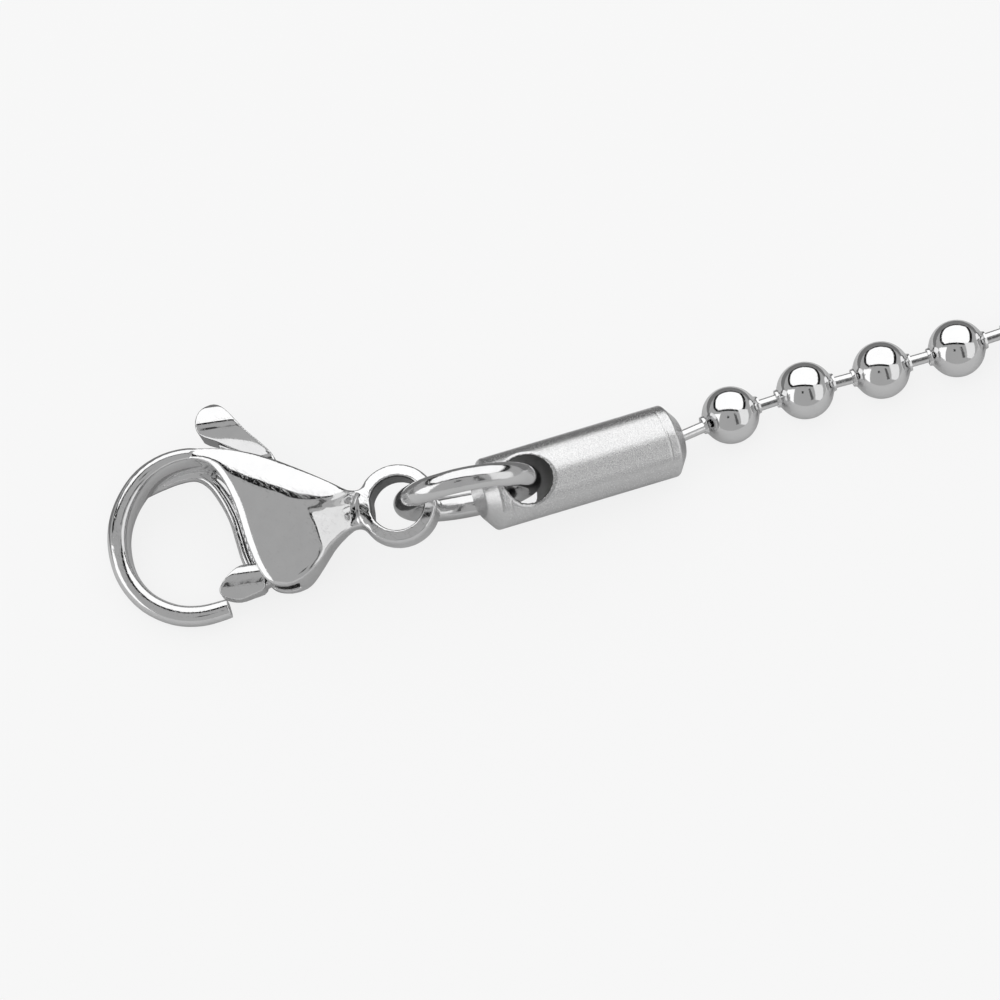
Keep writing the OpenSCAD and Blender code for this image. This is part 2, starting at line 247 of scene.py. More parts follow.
clasp = {"eyeX": 9.5, "bodyThick": 3.6, "eyePlay": 0.3, "eyeHeight": 2.872}


def fromLoop(point, *turns):
    place = Matrix.Translation((point - lie["loopMiddle"]) * mm)
    for step in turns:
        place = place @ step
    return place @ Matrix.Scale(mm, 4)


tubeFall = math.radians(lie["tubeFall"])
tubeExit = Vector((*lie["tubeExit"], tube["radius"] * math.cos(tubeFall) - tube["chamfer"] * math.sin(tubeFall)))
tubeDir = risingDir(lie["tubeHeading"], -lie["tubeFall"])
crossCentre = tubeExit - (tube["length"] - tube["crossFromEnd"]) * tubeDir

wireRadius = ring["wire"] / 2
ringMeanRadius = (ring["outer"] - ring["wire"]) / 2
ringChord = math.sqrt((ring["outer"] / 2 - ring["wire"]) ** 2 - tube["radius"] ** 2)
crossRadius = (ring["outer"] / 2 - ringChord) / 2 + tube["crossPlay"]
ringToCross = (ring["outer"] / 2 + ringChord) / 2 + lie["ringSettle"]
ringLean, ringHeading = math.radians(lie["ringLean"]), math.radians(lie["ringHeading"])
ringUp = Vector((math.sin(ringLean) * math.sin(ringHeading), -math.sin(ringLean) * math.cos(ringHeading),
                 math.cos(ringLean)))
ringHeight = ringMeanRadius * math.cos(ringLean) + wireRadius


def ringWay(side, reach, drop):
    down = drop / math.cos(ringLean)
    return side * math.sqrt(reach ** 2 - down ** 2) * flatDir(lie["ringHeading"]) - down * ringUp


ringCentre = crossCentre - ringWay(1, ringToCross, ringHeight - crossCentre.z)
eyeCentre = ringCentre + ringWay(-1, ringMeanRadius + clasp["eyePlay"], ringHeight - clasp["eyeHeight"])
hookCentre = eyeCentre - clasp["eyeX"] * risingDir(lie["claspHeading"], lie["claspRise"])
claspPlace = fromLoop(hookCentre, turn("Z", lie["claspHeading"]), turn("Y", -lie["claspRise"]),
                      turn("X", lie["claspRoll"]))


def barHeading(i):
    first = lie["firstHeadings"]
    return first[i] if i < len(first) else first[-1] + (i - len(first) + 1) * lie["beadTurn"]


def stepOut(length, drop, heading):
    return math.sqrt(length ** 2 - drop ** 2) * flatDir(heading)


beadSpots = [Vector((tubeExit.x, tubeExit.y, chain["beadRadius"]))
             + stepOut(tube["toBead"], tubeExit.z - chain["beadRadius"], barHeading(0))]
for i in range(1, chain["count"]):
    beadSpots.append(beadSpots[-1] + chain["pitch"] * flatDir(barHeading(i)))
freeDrop = tube["radius"] - chain["beadRadius"]
freeHeading = barHeading(chain["count"]) + 2 * lie["beadTurn"]
freeExit = beadSpots[-1] + Vector((0, 0, freeDrop)) + stepOut(tube["toBead"], freeDrop, barHeading(chain["count"]))
freeCross = freeExit + (tube["length"] - tube["crossFromEnd"]) * flatDir(freeHeading)
freeRingTilt = math.degrees(math.asin((tube["radius"] - wireRadius) / (ringToCross + ringMeanRadius)))


# finishes

class Signal:
    def __init__(self, finish, socket):
        self.finish, self.socket = finish, socket

    def maths(self, operation, first, second):
        return self.finish.node("ShaderNodeMath", {"operation": operation}, {0: first, 1: second})

    def __add__(self, other):
        return self.maths("ADD", self, other)

    __radd__ = __add__

    def __mul__(self, other):
        return self.maths("MULTIPLY", self, other)

    __rmul__ = __mul__

    def __sub__(self, other):
        return self.maths("SUBTRACT", self, other)

    def __rsub__(self, other):
        return self.maths("SUBTRACT", other, self)


class Finish:
    def __init__(self, name):
        self.material = bpy.data.materials.new(name)
        self.material.use_nodes = True
        self.tree = self.material.node_tree
        self.shader = self.tree.nodes["Principled BSDF"]

    def node(self, kind, settings, inputs, output=0):
        made = self.tree.nodes.new(kind)
        for key, value in settings.items():
            if key == "stops":
                ramp = made.color_ramp.elements
                while len(ramp) < len(value):
                    ramp.new(0.5)
                for stop, (position, shade) in zip(ramp, value):
                    stop.position = position
                    stop.color = (shade, shade, shade, 1)
            else:
                setattr(made, key, value)
        self.fill(made, inputs)
        return Signal(self, made.outputs[output])

    def fill(self, made, inputs):
        for key, value in inputs.items():
            if isinstance(value, Signal):
                self.tree.links.new(value.socket, made.inputs[key])
            else:
                made.inputs[key].default_value = value

    # place on the piece in millimetres, turned and stretched as told
    def place(self, scale=(1, 1, 1), turned=(0, 0, 0), centre=(0, 0, 0)):
        here = self.node("ShaderNodeTexCoord", {}, {}, "Object")
        moved = self.node("ShaderNodeMapping", {}, {"Vector": here, "Location": [-c for c in centre]})
        straight = self.node("ShaderNodeMapping", {}, {"Vector": moved, "Rotation": turned,
                                                       "Scale": (1 / mm,) * 3})
        return self.node("ShaderNodeMapping", {}, {"Vector": straight, "Scale": scale})

    def noise(self, where, scale, detail=2.0, rough=0.5):
        return self.node("ShaderNodeTexNoise", {"noise_dimensions": "3D"},
                         {"Vector": where, "Scale": scale, "Detail": detail, "Roughness": rough})

    def ramp(self, level, *stops):
        return self.node("ShaderNodeValToRGB", {"stops": stops}, {0: level})

    def grey(self, level, dark, light):
        return self.node("ShaderNodeMix", {"data_type": "RGBA"}, {0: level, 6: (*dark, 1), 7: (*light, 1)}, 2)

    def relief(self, height, depth, strength=1.0, over=None):
        inputs = {"Height": height, "Distance": depth * mm, "Strength": strength}
        if over:
            inputs["Normal"] = over
        return self.node("ShaderNodeBump", {}, inputs)

    def surface(self, **sockets):
        names = {"color": "Base Color", "roughness": "Roughness", "metallic": "Metallic", "normal": "Normal"}
        self.fill(self.shader, {names[key]: value for key, value in sockets.items()})
        return self.material


# mirror polish with the slow waves of a tumbled casting and hair scratches
def polishedSteel(name, waves, waveDepth, scratches, roughness):
    finish = Finish(name)
    here = finish.place()
    slow = finish.noise(here, waves, 1.0)
    cloud = finish.noise(here, 1.6, 3.0)
    hairs = finish.noise(finish.place((1.5, 34, 6), (0.2, 0.3, 0.7)), 1.0, 2.0, 0.6)
    crossed = finish.noise(finish.place((28, 2, 5), (0.1, -0.2, 0.4)), 1.0, 2.0, 0.6)
    scuffs = finish.ramp(hairs, (0.6, 0), (0.72, 1)) + finish.ramp(crossed, (0.62, 0), (0.74, 1))
    wavy = finish.relief(slow, waveDepth)
    return finish.surface(
        color=finish.grey(cloud, (0.78, 0.78, 0.785), (0.86, 0.86, 0.86)),
        metallic=1.0,
        roughness=roughness + 0.05 * cloud + 0.08 * scuffs,
        normal=finish.relief(scuffs, scratches, 1.0, wavy),
    )


# painted shade for the hollows: a dark colour where shade falls, over a rough grain of cutting marks where no
# wheel reaches
def paintedShadeSteel(name):
    finish = Finish(name)
    grain = finish.noise(finish.place(), 6.0, 4.0, 0.7)
    return finish.surface(
        color=finish.grey(grain, (0.1, 0.1, 0.1), (0.26, 0.26, 0.26)),
        metallic=1.0,
        roughness=0.3 + 0.2 * grain,
        normal=finish.relief(grain, 0.01),
    )


# wire drawn through a die, polished and then marked by pliers
def drawnSteel(name):
    finish = Finish(name)
    spot = finish.node("ShaderNodeTexCoord", {}, {}, "UV")
    drawn = finish.node("ShaderNodeMapping", {}, {"Vector": spot, "Scale": (14, 40, 1)})
    streaks = finish.noise(drawn, 1.0, 3.0, 0.6)
    here = finish.place()
    cloud = finish.noise(here, 1.3, 3.0)
    dents = finish.ramp(finish.noise(here, 1.6, 2.0), (0.5, 0), (0.75, 1))
    ground = finish.relief(dents, 0.006)
    return finish.surface(
        color=finish.grey(cloud, (0.72, 0.72, 0.725), (0.84, 0.84, 0.84)),
        metallic=1.0,
        roughness=0.09 + 0.12 * streaks * cloud + 0.08 * dents,
        normal=finish.relief(streaks, 0.002, 1.0, ground),
    )


# satin tube: blasted speckle, faint lines along it, and bright turned bands by its ends
def satinSteel(name, centre, turned):
    finish = Finish(name)
    along = finish.place((1, 1, 1), turned, centre)
    height = finish.node("ShaderNodeSeparateXYZ", {}, {0: along}, "Z")
    speckle = finish.noise(finish.place(), 24.0, 4.0, 0.7)
    streaks = finish.noise(finish.place((5, 5, 0.35), turned, centre), 1.0, 3.0, 0.6)
    fromMiddle = finish.node("ShaderNodeMath", {"operation": "ABSOLUTE"}, {0: height}) * 0.2    # 1 at 5 mm
    band = finish.ramp(fromMiddle, (0.78, 0), (0.8, 1))
    line = finish.ramp(fromMiddle, (0.745, 0), (0.752, 1), (0.762, 1), (0.77, 0))
    blasted = finish.ramp(speckle, (0.38, 0), (0.62, 1))
    grain = finish.relief(speckle, 0.008, 0.9)
    return finish.surface(
        color=finish.grey(blasted * 0.7 + streaks * 0.3, (0.56, 0.56, 0.565), (0.9, 0.9, 0.9)),
        metallic=1.0,
        roughness=0.08 + 0.2 * blasted - 0.04 * band,
        normal=finish.relief(1 - line, 0.01, 1.0, grain),
    )


claspSteel = polishedSteel("clasp_steel", 0.7, 0.02, 0.0008, 0.035)
leverSteel = polishedSteel("lever_steel", 0.9, 0.02, 0.0008, 0.04)
beadSteel = polishedSteel("bead_steel", 0.8, 0.006, 0.0004, 0.03)
barSteel = polishedSteel("bar_steel", 1.2, 0.01, 0.001, 0.06)
# dark material that paints shade into the hollows
recessShadeSteel = paintedShadeSteel("recess_painted_shade")
ringSteel = drawnSteel("ring_steel")


def dress(piece, material, slot, body, *nodes):
    piece.data.materials.clear()
    piece.data.materials.append(material)
    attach(piece, body)
    if nodes:
        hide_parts(*nodes)
    print("made", piece.name, len(piece.data.polygons), "faces")


# camera

view = {"elevation": 65, "distance": 800, "width": 43.3, "sensor": 36, "clip": (0.01, 100)}
aim = -lie["loopMiddle"] * mm
back = -risingDir(90, -view["elevation"])
bpy.ops.object.camera_add(location=aim + back * view["distance"] * mm,
                          rotation=(math.radians(90 - view["elevation"]), 0, 0))
camera = bpy.context.object
camera.data.sensor_width = view["sensor"]
camera.data.lens = view["sensor"] * view["distance"] / view["width"]
camera.data.clip_start, camera.data.clip_end = view["clip"]
bpy.context.scene.camera = camera


# clasp body: hook, two crowned cheeks with a channel between them, neck and eye

body = {
    "hookReach": 2.75, "hookHeight": 3.6, "hookWire": 0.98, "hookDepth": 2.5,
    # along, up, half width, half depth, as shares of the four sizes above
    "hookRows": [
        (0.6, 0.85, 0.3, 0.64), (0.3, 0.905, 0.39, 0.62), (-0.11, 0.875, 0.43, 0.55), (-0.49, 0.735, 0.47, 0.48),
        (-0.78, 0.49, 0.49, 0.43), (-0.96, 0.19, 0.5, 0.38), (-1, -0.13, 0.49, 0.33), (-0.91, -0.455, 0.47, 0.28),
        (-0.655, -0.745, 0.45, 0.245), (-0.255, -0.94, 0.44, 0.225), (0.18, -1, 0.43, 0.215),
        (0.63, -0.955, 0.4, 0.2),
    ],
    "hookSides": 48, "hookSquare": 0.72, "hookLean": 0.09,
    "cheekHeight": 6.8,
    # along and up, as shares of the eye's distance and of the cheeks' height
    "cheekRows": [
        (0.063, 0.449), (0.137, 0.419), (0.205, 0.346), (0.268, 0.14), (0.305, -0.132), (0.342, -0.309),
        (0.389, -0.408), (0.462, -0.437), (0.545, -0.408), (0.622, -0.331), (0.69, -0.218), (0.756, -0.138),
        (0.8, -0.11), (0.874, -0.105), (0.874, 0.105), (0.788, 0.118), (0.726, 0.165), (0.587, 0.28),
        (0.455, 0.382), (0.332, 0.45), (0.205, 0.49), (0.09, 0.512),
    ],
    "crownRadius": 3, "crownStart": 0.3, "browX": 2.47, "browRadius": 4, "fallX": 5.225, "fallRadius": 4.2,
    # the ridge along the face and the fold that goes down from it, each with how it drops beyond
    "ridge": [
        (0, 3.5), (1.29, 2.75), (2.45, 2.09), (3.3, 1.52), (4.01, 1.15), (4.63, 0.84), (5.08, 0.6), (5.93, 0.42),
        (6.78, 0.48), (7.48, 0.76), (8.6, 1.2),
    ],
    "ridgeDrop": 0.17, "ridgeBend": 0.15,
    "fold": [(-3.5, 6.05), (-2.34, 6.16), (-1.74, 6.18), (-0.65, 5.95), (0.26, 5.65), (1.5, 5.2)],
    "foldDrop": 0.42, "foldReach": 1.5, "foldBend": 0.16, "foldTop": 0.6,
    "rimWidth": 0.3, "frontDrop": 0.38, "rimBend": 0.08, "edgeWidth": 0.18, "edgeDrop": 0.5, "edgeBend": 0.06,
    "leastFront": 0.6, "leastBack": 0.3,
    # the far cheek thins out under the neck, from one place along it to another
    "backFrom": 5, "backGrows": 1.2, "backTo": 7.2, "backFades": 0.8,
    "backWidth": 0.8, "backDrop": 1.2, "backBend": 0.2,
    # how much of the cheek is laid out as a curved face, and how finely
    "faceLow": (0, -3.8), "faceHigh": (8.8, 4.2), "faceGrain": 0.07,
    # the far cheek's rim, which stands out past the near one
    "farRim": [
        (-1.5, 2.24, 0.14, 0.2), (-0.87, 2.5, 0.18, 0.28), (0.04, 2.76, 0.22, 0.34), (0.83, 2.78, 0.24, 0.36),
        (1.45, 2.35, 0.26, 0.4), (1.95, 1.5, 0.28, 0.4), (2.28, 0.6, 0.28, 0.4), (2.45, -0.3, 0.28, 0.4),
        (2.62, -1.2, 0.28, 0.4), (2.9, -1.9, 0.28, 0.4), (3.4, -2.5, 0.28, 0.4),
    ],
    "farRimSides": 24, "farRimSquare": 0.9, "farRimLevel": -0.98,
    "eyeRadius": 1.75, "eyeHoleRadius": 1.175, "eyeThick": 1.6, "eyeFall": 0.05, "eyeSides": 96,
    # how far the edges of the hole and of the eye are rounded off, sideways and down
    "holeRounding": [(0, 0.12), (0.03, 0.05), (0.1, 0)], "eyeRounding": [(0.18, 0), (0.06, 0.06), (0, 0.2)],
    # the channel's ends as shares of the hook's reach, the eye's distance and the cheeks' height
    "slotWidth": 1, "slotFront": 0.62, "slotRear": 0.64, "slotRearHeight": 0.3,
    "pinX": 4.4, "pinDrop": 1.2, "hubReach": 1.45, "hubCorner": (0.6, 0.8),
    "grain": 0.056, "tumbling": 10,
    # the neck is evened out over this stretch before and behind the eye's edge
    "easeBefore": 0.35, "easeBehind": 0.45, "easeRounds": 22,
    # where the fused casting is laid back on its drawn faces: how far from neck and edges, and by how much
    "snapBeforeEye": 0.25, "snapInEye": 0.5, "snapCheekEdge": 0.14, "snapHoleEdge": 0.05, "snapEyeEdge": 0.07,
    "snapReach": 0.06,
    # how far the painted shade goes, past the hole's wall and the channel's, and in from the cheeks' edge
    "holeShade": 0.04, "slotShade": 0.05, "slotInset": 0.2,
}


def bothSides(curve):
    return curve + [(along, -height) for along, height in reversed(curve)]


# grows from nothing to the run itself, with a bend of some width between
def bend(run, width):
    return (run + math.hypot(run, width)) / 2


def smoothStep(share):
    share = min(1, max(0, share))
    return share ** 2 * (3 - 2 * share)


def readCurve(curve, spot):
    for (a, low), (b, high) in zip(curve, curve[1:]):
        if spot < b:
            return low + (high - low) * max(0, spot - a) / (b - a)
    return curve[-1][1]


# how far the cheek's drawn face stands from the middle, at any spot of the outline
class CheekFace:
    def __init__(self, b, outline):
        self.b = b
        self.ridge, self.fold = smoothRows(b["ridge"], 6), smoothRows(b["fold"], 6)
        tip = min(range(len(outline)), key=lambda i: outline[i][1])
        root = max(range(len(outline)), key=lambda i: outline[i][0])
        self.front = sorted((y, x) for x, y in outline[:tip + 1])
        self.lower = sorted(outline[tip:root + 1])
        self.upper = sorted(outline[root + 1:])

    # how far a spot lies inside the front rim, the lower edge and the upper edge
    def inside(self, x, y):
        return (x - readCurve(self.front, y), y - readCurve(self.lower, x), readCurve(self.upper, x) - y)

    def height(self, x, y, side=1):
        b = self.b
        eyeward = math.hypot(x - clasp["eyeX"], y)
        if eyeward < b["eyeRadius"]:
            return b["eyeThick"] / 2 * (1 - b["eyeFall"] * y ** 2)
        under = readCurve(self.ridge, x) - y
        falls = max(0, b["browX"] - x) ** 2 / b["browRadius"] + max(0, x - b["fallX"]) ** 2 / b["fallRadius"]
        level = (clasp["bodyThick"] - falls - max(0, -under - b["crownStart"]) ** 2 / b["crownRadius"]) / 2
        level -= b["ridgeDrop"] * bend(under, b["ridgeBend"])
        past = bend(x - readCurve(self.fold, y), b["foldBend"])
        share = smoothStep(under / b["foldTop"])
        level -= b["foldDrop"] * b["foldReach"] * (1 - math.exp(-past / b["foldReach"])) * share
        front, lower, upper = self.inside(x, y)
        level -= b["frontDrop"] * min(1, bend(b["rimWidth"] - front, b["rimBend"]))
        level -= b["edgeDrop"] * sum(min(1, bend(b["edgeWidth"] - edge, b["edgeBend"])) for edge in (lower, upper))
        if side > 0:
            return max(b["leastFront"], level)
        thinner = b["backDrop"] * bend(b["backWidth"] - lower, b["backBend"])
        thinner *= smoothStep((x - b["backFrom"]) / b["backGrows"])
        return max(b["leastBack"], level - thinner * (1 - smoothStep((x - b["backTo"]) / b["backFades"])))


# a block between the curved faces of the near and the far side
def addFacedBlock(name, face, low, high, grain):
    size = [int((b - a) / grain) for a, b in zip(low, high)]
    deselectAll()
    bpy.ops.mesh.primitive_grid_add(x_subdivisions=size[0], y_subdivisions=size[1], size=1)
    block = bpy.context.object
    block.name = name
    bpy.ops.object.mode_set(mode="EDIT")
    bpy.ops.mesh.select_all(action="SELECT")
    bpy.ops.mesh.extrude_region_move(TRANSFORM_OT_translate={"value": (0, 0, 1)})
    bpy.ops.object.mode_set(mode="OBJECT")
    heights = {}
    for corner in block.data.vertices:
        x, y = (a + (b - a) * (c + 0.5) for a, b, c in zip(low, high, corner.co[:2]))
        spot = (round(x, 3), round(y, 3))
        side = 1 if corner.co.z > 0.5 else -1
        if (spot, side) not in heights:
            heights[spot, side] = face.height(x, y, side)
        corner.co = (x, y, side * heights[spot, side])
    bpy.ops.object.mode_set(mode="EDIT")
    turnOutward()
    return block


# gives a second material to the hollows that polishing doesn't reach, with painted shade in its dark colour
def paintShadeOn(piece, material, hidden):
    piece.data.materials.append(material)
    for patch in piece.data.polygons:
        if hidden(patch.center):
            patch.material_index = 1


def makeClaspBody(b):
    eyeX, tall, thick = clasp["eyeX"], b["cheekHeight"], clasp["bodyThick"]
    outline = [(x * eyeX, y * tall) for x, y in smoothRows(b["cheekRows"], 4)]
    cheeks = addPrism("cheeks", outline, -thick, thick)
    face = CheekFace(b, outline)
    combine(cheeks, addFacedBlock("cheek_faces", face, b["faceLow"], b["faceHigh"], b["faceGrain"]), "INTERSECT")
    front, rear, reach = b["slotFront"] * b["hookReach"], b["slotRear"] * eyeX, b["hubReach"]
    cornerAlong, cornerDown = b["hubCorner"]
    channel = addPrism("channel", [
        (front, tall), (front, -tall), (b["pinX"], -tall / 2),
        (b["pinX"] + cornerAlong * reach, -b["pinDrop"] - cornerDown * reach), (b["pinX"] + reach, -b["pinDrop"]),
        (rear, b["slotRearHeight"] * tall), (rear, tall),
    ], -b["slotWidth"] / 2, b["slotWidth"] / 2)
    combine(cheeks, channel, "DIFFERENCE")
    hookRows = [(x * b["hookReach"], y * b["hookHeight"], w * b["hookWire"], d * b["hookDepth"])
                for x, y, w, d in smoothRows(b["hookRows"], 4)]
    hook = addSweep("hook", hookRows, b["hookSides"], b["hookSquare"], lean=b["hookLean"])
    farRim = addSweep("far_rim", smoothRows(b["farRim"], 4), b["farRimSides"], b["farRimSquare"], b["farRimLevel"])
    outer, inner, half = b["eyeRadius"], b["eyeHoleRadius"], b["eyeThick"] / 2
    rim = [(inner + aside, half - down) for aside, down in b["holeRounding"]]
    rim += [(outer - aside, half - down) for aside, down in b["eyeRounding"]]
    eye = addTurned("eye", bothSides(rim), b["eyeSides"])
    for corner in eye.data.vertices:
        corner.co.z *= 1 - b["eyeFall"] * corner.co.y ** 2
        corner.co.x += eyeX
    piece = joinAll("clasp_casting", [cheeks, hook, farRim, eye])
    fuse(piece, b["grain"], b["tumbling"])
    neck = eyeX - outer
    ease(piece, lambda spot: neck - b["easeBefore"] < spot.x < neck + b["easeBehind"], b["easeRounds"])
    for corner in piece.data.vertices:
        x, y, z = corner.co
        onCheek = x < neck - b["snapBeforeEye"] and min(face.inside(x, y)) > b["snapCheekEdge"]
        fromEye = math.hypot(x - eyeX, y)
        onEye = x > neck + b["snapInEye"] and inner + b["snapHoleEdge"] < fromEye < outer - b["snapEyeEdge"]
        if onCheek or onEye:
            level = face.height(x, y, z)
            if abs(abs(z) - level) < b["snapReach"]:
                corner.co.z = math.copysign(level, z)
    return piece, face


# painted shade: the eye hole and the channel between the cheeks, where shade falls, take the dark material
def inClaspShade(spot):
    if math.hypot(spot.x - clasp["eyeX"], spot.y) < body["eyeHoleRadius"] + body["holeShade"]:
        return True
    inSlot = abs(spot.z) < body["slotWidth"] / 2 + body["slotShade"]
    return inSlot and min(cheekFace.inside(spot.x, spot.y)) > body["slotInset"]


casting, cheekFace = makeClaspBody(body)
dress(casting, claspSteel, "polished_steel", "necklace", "clasp_body")
paintShadeOn(casting, recessShadeSteel, inClaspShade)
settle(casting, claspPlace)


# clasp lever: a plate in the channel with a thumb tab above and a jaw below

lever = {
    "plate": 0.8, "pinHole": 0.55, "holeSides": 64,
    # along and up from the pin
    "plateRows": [
        (-0.95, 1.36), (-1.5, 2.73), (-2, 3.9), (-2.5, 5.36), (-1.2, 5.3), (-0.5, 4.7), (0, 4.05), (0.25, 3),
        (0.62, 1.56), (0.953, 0.55), (1.063, 0.285), (1.1, 0), (1.063, -0.285), (0.953, -0.55), (0.778, -0.778),
        (0.55, -0.953), (0.285, -1.063), (-0.6, -1.44), (-1.6, -1.75), (-1.55, -0.7), (-0.9, 0.19),
    ],
    "tabRows": [
        (-2.4, 4.99), (-3.08, 5.36), (-3.16, 5.95), (-2.84, 6.47), (-2.3, 6.65), (-1.8, 6.29), (-1.1, 5.36),
        (-0.45, 4.68), (-0.02, 4.1), (-0.3, 3.75), (-0.8, 4.15), (-1.6, 4.55),
    ],
    "jawRows": [
        (-1.5, -0.5), (-2.02, -0.56), (-2.5, -0.9), (-2.86, -1.26), (-3, -1.58), (-2.76, -1.83), (-2.2, -2),
        (-1.6, -1.88), (-1, -1.63), (-1, -0.7),
    ],
    # up from the pin and height over the plate's middle, for the tab and for the jaw
    "tabProfile": [(3.6, 0.36), (4.2, 0.42), (4.65, 0.62), (5.1, 0.85),
                   (5.5, 1.03), (5.8, 1.08), (6.2, 1.04), (6.5, 0.9), (6.8, 0.5)],
    "jawProfile": [(-2.2, 0.2), (-1.9, 0.42), (-1.5, 0.6), (-1.15, 0.7), (-0.85, 0.73), (-0.6, 0.62), (-0.3, 0.3)],
    # half the depth that a pad is cut from, and how far its crown runs along it
    "padDepth": 2, "padReach": (-4, 2),
    "grain": 0.04, "tumbling": 8,
}


# a slab with the piece's outline, crowned to the piece's profile on both faces
def addPad(name, outline, profile):
    pad = addPrism(name, smoothRows(outline, 3), -lever["padDepth"], lever["padDepth"])
    crown = addPrism("crown", bothSides(smoothRows(profile, 3)), *lever["padReach"])
    turnAxes(crown, (2, 0, 1))
    combine(pad, crown, "INTERSECT")
    return pad


def makeClaspLever(v):
    plate = addPrism("lever_plate", v["plateRows"], -v["plate"] / 2, v["plate"] / 2)
    hole = addRod("pin_hole", v["pinHole"], (0, 0, -v["padDepth"]), (0, 0, v["padDepth"]), v["holeSides"])
    combine(plate, hole, "DIFFERENCE")
    tab = addPad("thumb_tab", v["tabRows"], v["tabProfile"])
    jaw = addPad("jaw", v["jawRows"], v["jawProfile"])
    piece = joinAll("clasp_thumb_lever", [plate, tab, jaw])
    fuse(piece, v["grain"], v["tumbling"])
    settle(piece, claspPlace @ Matrix.Translation((body["pinX"], -body["pinDrop"], 0)))
    return piece


dress(makeClaspLever(lever), leverSteel, "polished_steel", "lever", "clasp_lever")
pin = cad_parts["clasp_pin"]
pin.data.materials.clear()
pin.data.materials.append(barSteel)


# jump rings

def makeRing(name, place):
    deselectAll()
    bpy.ops.mesh.primitive_torus_add(major_radius=ringMeanRadius, minor_radius=wireRadius,
                                     major_segments=ring["segments"], minor_segments=ring["wireSegments"])
    piece = bpy.context.object
    piece.name = name
    # plier marks: shallow flats on the wire
    for angle, side in ring["marks"]:
        spot = flatDir(angle) * ringMeanRadius
        for corner in piece.data.vertices:
            away = (corner.co - spot).length / ring["markReach"]
            if away < 1 and corner.co.z * side > 0:
                corner.co.z *= 1 - ring["markDepth"] * (1 - away ** 2) ** 2
    bpy.ops.object.shade_smooth()
    settle(piece, place)
    return piece


claspRing = makeRing("clasp_jump_ring", fromLoop(ringCentre, turn("Z", lie["ringHeading"]),
                                                 turn("X", 90 + lie["ringLean"])))
dress(claspRing, ringSteel, "polished_steel", "necklace", "clasp_ring")
freeRing = makeRing("free_jump_ring", fromLoop(freeCross, turn("Z", freeHeading), turn("Y", freeRingTilt),
                                               Matrix.Translation((ringToCross * mm, 0, 0))))
dress(freeRing, ringSteel, "polished_steel", "necklace", "free_ring")


# end tubes

def makeTube(name):
    t = tube
    length, mouth = t["length"], t["length"] - t["mouthWall"]
    piece = addTurned(name, [
        (0, 0), (t["faceRadius"], 0), (t["radius"], t["chamfer"]), (t["radius"], length - t["chamfer"]),
        (t["faceRadius"], length), (t["mouthRadius"], length), (t["mouthRadius"], mouth),
        (t["chamberRadius"], mouth), (t["chamberRadius"], mouth - t["chamberLength"]),
        (0, mouth - t["chamberLength"]),
    ], t["sides"])
    reach, level = t["crossReach"], t["crossFromEnd"]
    cross = addRod("cross_hole", crossRadius, (-reach, 0, level), (reach, 0, level), t["crossSides"])
    combine(piece, cross, "DIFFERENCE")
    fuse(piece, t["grain"], t["tumbling"])
    for corner in piece.data.vertices:
        room = math.hypot(corner.co.y, corner.co.z - level) - crossRadius
        onSkin = math.hypot(corner.co.x, corner.co.y) > t["radius"] - t["edgeDepth"]
        if onSkin and -t["edgeOverlap"] < room < t["brokenEdge"]:
            push = 1 - t["edgeFall"] * (t["brokenEdge"] - max(0, room)) / t["radius"]
            corner.co.x, corner.co.y = corner.co.x * push, corner.co.y * push
    return piece


# painted shade: the cross hole and the mouth of the tube, where shade falls, take the dark material
def inTubeShade(spot):
    t = tube
    if math.hypot(spot.y, spot.z - t["crossFromEnd"]) < crossRadius + t["recessShade"]:
        return True
    inMouth = math.hypot(spot.x, spot.y) < t["mouthRadius"] + t["recessShade"]
    return inMouth and spot.z > t["length"] - t["mouthShade"]


def addTube(name, place, material, *nodes):
    piece = makeTube(name)
    dress(piece, material, "satin_steel", "necklace", *nodes)
    paintShadeOn(piece, recessShadeSteel, inTubeShade)
    settle(piece, place)


# a tube from its ringed end, with how it is turned and then rolled to set its cross hole
def layTube(name, node, finishName, end, along, turned, roll):
    middle = (end + tube["length"] / 2 * along - lie["loopMiddle"]) * mm
    finish = satinSteel(finishName, middle, turned.inverted().to_euler())
    addTube(name, fromLoop(end, turned, turn("Z", roll)), finish, node)


layTube("clasp_end_sleeve", "clasp_end_tube", "clasp_tube_steel", tubeExit - tube["length"] * tubeDir, tubeDir,
        turn("Z", lie["tubeHeading"]) @ turn("Y", 90 + lie["tubeFall"]), lie["crossRoll"])
layTube("free_end_sleeve", "free_end_tube", "free_tube_steel", freeExit + tube["length"] * flatDir(freeHeading),
        -flatDir(freeHeading), turn("Z", freeHeading) @ turn("Y", -90), 90)


# ball chain: hollow beads with flared collars, and bars with a head in each bead

def beadProfile(arcSteps, innerSteps):
    c = chain
    outer, inner = c["beadRadius"], c["beadRadius"] - c["wall"]
    hole = c["holeRadius"]
    collar, top = hole + c["lip"], outer + c["collarRise"]
    start = math.asin(c["flareRadius"] / outer)    # where the ball starts to draw out into the collar
    points = []
    for i in range(arcSteps + 1):
        angle = start + (math.pi - 2 * start) * i / arcSteps
        points.append((outer * math.sin(angle), outer * math.cos(angle)))
    low = [(collar + past, -height) for past, height in c["flareRows"]]
    low += [(collar, -top + 0.04), (collar - 0.01, -top), (hole + 0.01, -top), (hole, -top + 0.02)]
    points += low
    hidden = math.asin(hole / inner)
    for i in range(innerSteps + 1):
        angle = math.pi - hidden - (math.pi - 2 * hidden) * i / innerSteps
        points.append((inner * math.sin(angle), inner * math.cos(angle)))
    return points + [(radius, -height) for radius, height in reversed(low)]


def aimed(start, along):
    return fromLoop(start, along.to_track_quat("Z", "Y").to_matrix().to_4x4())


